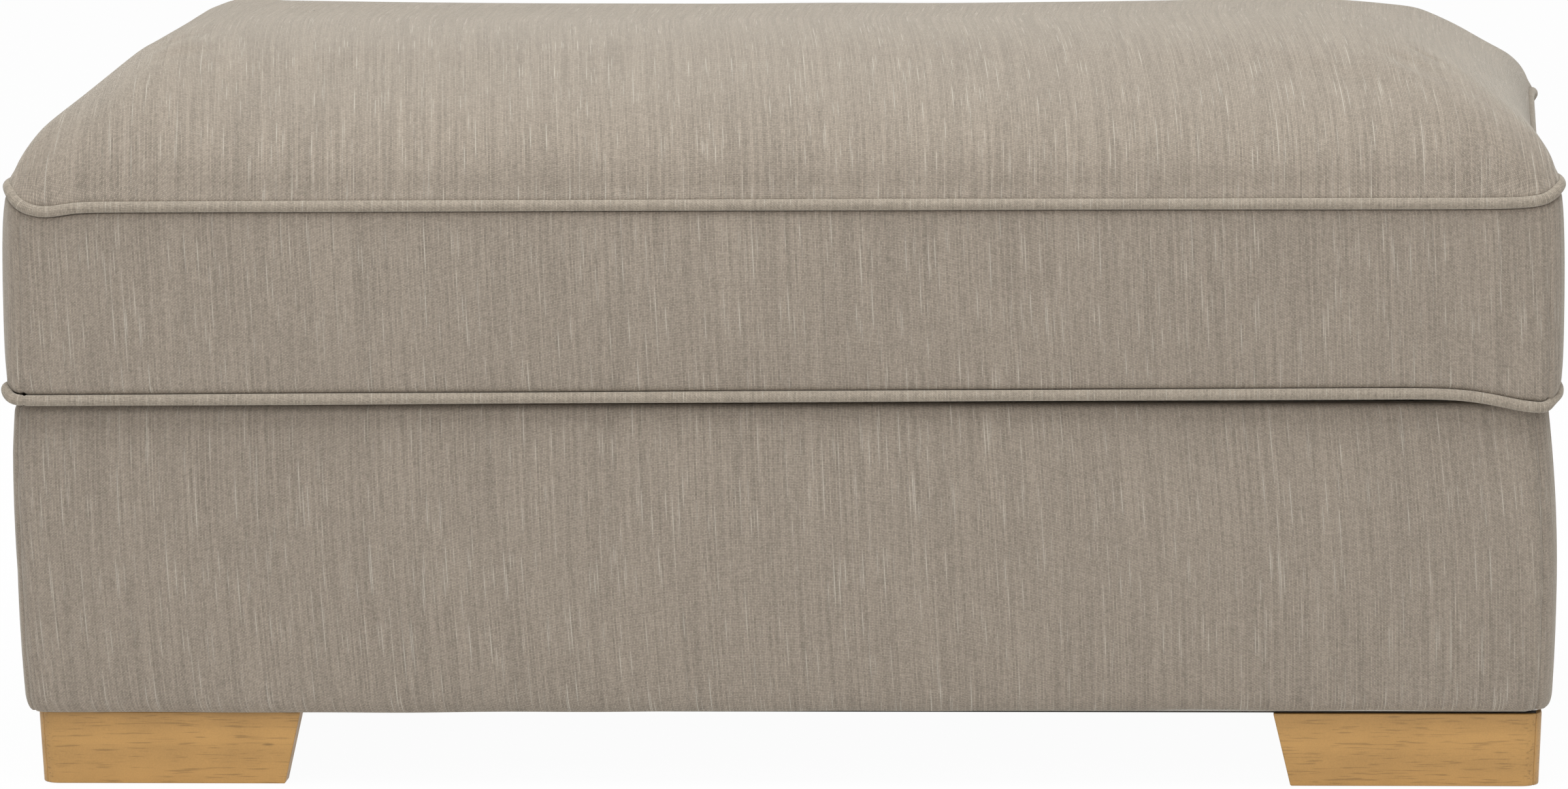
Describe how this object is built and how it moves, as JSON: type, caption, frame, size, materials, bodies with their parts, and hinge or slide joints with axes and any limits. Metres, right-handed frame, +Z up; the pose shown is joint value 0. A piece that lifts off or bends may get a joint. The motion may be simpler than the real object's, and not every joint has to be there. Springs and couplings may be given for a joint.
{
  "type": "storage ottoman",
  "caption": "Rectangular upholstered storage ottoman with a deep crowned, piped lid hinged at the back, parallel-link lid stays and low wooden bracket feet.",
  "frame": {"origin": "on the floor under the middle of the footprint", "axes": "+X runs along the long side to the right seen from the front, +Y runs to the back, where the hinges are, +Z is up"},
  "size_m": [1, 0.6, 0.48],
  "materials": {
    "cover_fabric": "beige-grey slub linen-look upholstery weave, matt",
    "piping_fabric": "the cover fabric, cut straight and sewn round a cord",
    "wadding": "white polyester wadding",
    "foam": "pale yellow cushion foam",
    "lining_fabric": "black non-woven lining cloth",
    "plywood": "sawn birch plywood",
    "pine": "planed softwood",
    "oak": "light oak with a clear satin lacquer",
    "plated_steel": "bright zinc plate",
    "bumper": "soft dark plastic",
    "glide": "grey nylon"
  },
  "bodies": {
    "base": {"base_back_panel": "plywood", "base_cover_back": "cover_fabric", "base_cover_front": "cover_fabric", "base_cover_left": "cover_fabric", "base_cover_right": "cover_fabric", "base_front_panel": "plywood", "base_left_panel": "plywood", "base_padding_back": "wadding", "base_padding_front": "wadding", "base_padding_left": "wadding", "base_padding_right": "wadding", "base_right_panel": "plywood", "corner_posts": "pine", "dust_cover": "lining_fabric", "dust_cover_staples": "plated_steel", "floor_cleats": "pine", "floor_panel": "plywood", "foot_back_left": "oak", "foot_back_right": "oak", "foot_bolts": "plated_steel", "foot_corner_blocks": "pine", "foot_front_left": "oak", "foot_front_right": "oak", "foot_glides": "glide", "foot_mounting_blocks": "pine", "frame_screws": "plated_steel", "hinge_base_leaf_left": "plated_steel", "hinge_base_leaf_right": "plated_steel", "hinge_base_screws": "plated_steel", "hinge_pins": "plated_steel", "rim_bumpers": "bumper", "stay_base_plate_left": "plated_steel", "stay_base_plate_right": "plated_steel", "stay_base_screws": "plated_steel", "storage_floor_lining": "lining_fabric", "storage_wall_lining": "lining_fabric", "tee_nuts": "plated_steel"},
    "lid": {"lid_board": "plywood", "lid_lining": "lining_fabric", "lid_lining_staples": "plated_steel", "lid_foam_block": "foam", "lid_fibre_wrap": "wadding", "lid_top_cover": "cover_fabric", "lid_band_front": "cover_fabric", "lid_band_back": "cover_fabric", "lid_band_left": "cover_fabric", "lid_band_right": "cover_fabric", "upper_piping": "piping_fabric", "lower_piping": "piping_fabric", "hinge_lid_leaf_left": "plated_steel", "hinge_lid_leaf_right": "plated_steel", "hinge_lid_screws": "plated_steel", "stay_lid_bracket_left": "plated_steel", "stay_lid_bracket_right": "plated_steel", "stay_lid_screws": "plated_steel"},
    "stay_arm_left": {"stay_arm_left": "plated_steel"},
    "stay_arm_right": {"stay_arm_right": "plated_steel"},
    "stay_link_left": {"stay_link_left": "plated_steel"},
    "stay_link_right": {"stay_link_right": "plated_steel"}
  },
  "joints": [
    {"name": "lid_hinge", "type": "hinge", "parent": "base", "child": "lid", "pos_m": [0, 0.296, 0.2435], "axis": [-1, 0, 0], "range_deg": [0, 95]},
    {"name": "stay_arm_pivot_left", "type": "hinge", "parent": "base", "child": "stay_arm_left", "pos_m": [-0.4599, 0.191, 0.1685], "axis": [-1, 0, 0], "range_deg": [0, 95]},
    {"name": "stay_elbow_left", "type": "hinge", "parent": "stay_arm_left", "child": "stay_link_left", "pos_m": [-0.4599, 0.041, 0.1605], "axis": [-1, 0, 0], "range_deg": [-95, 0]},
    {"name": "stay_arm_pivot_right", "type": "hinge", "parent": "base", "child": "stay_arm_right", "pos_m": [0.4599, 0.191, 0.1685], "axis": [-1, 0, 0], "range_deg": [0, 95]},
    {"name": "stay_elbow_right", "type": "hinge", "parent": "stay_arm_right", "child": "stay_link_right", "pos_m": [0.4599, 0.041, 0.1605], "axis": [-1, 0, 0], "range_deg": [-95, 0]}
  ],
  "couplings": [
    {"joint": "stay_arm_pivot_left", "follows": "lid_hinge", "ratio": 1},
    {"joint": "stay_elbow_left", "follows": "lid_hinge", "ratio": -1},
    {"joint": "stay_arm_pivot_right", "follows": "lid_hinge", "ratio": 1},
    {"joint": "stay_elbow_right", "follows": "lid_hinge", "ratio": -1}
  ]
}
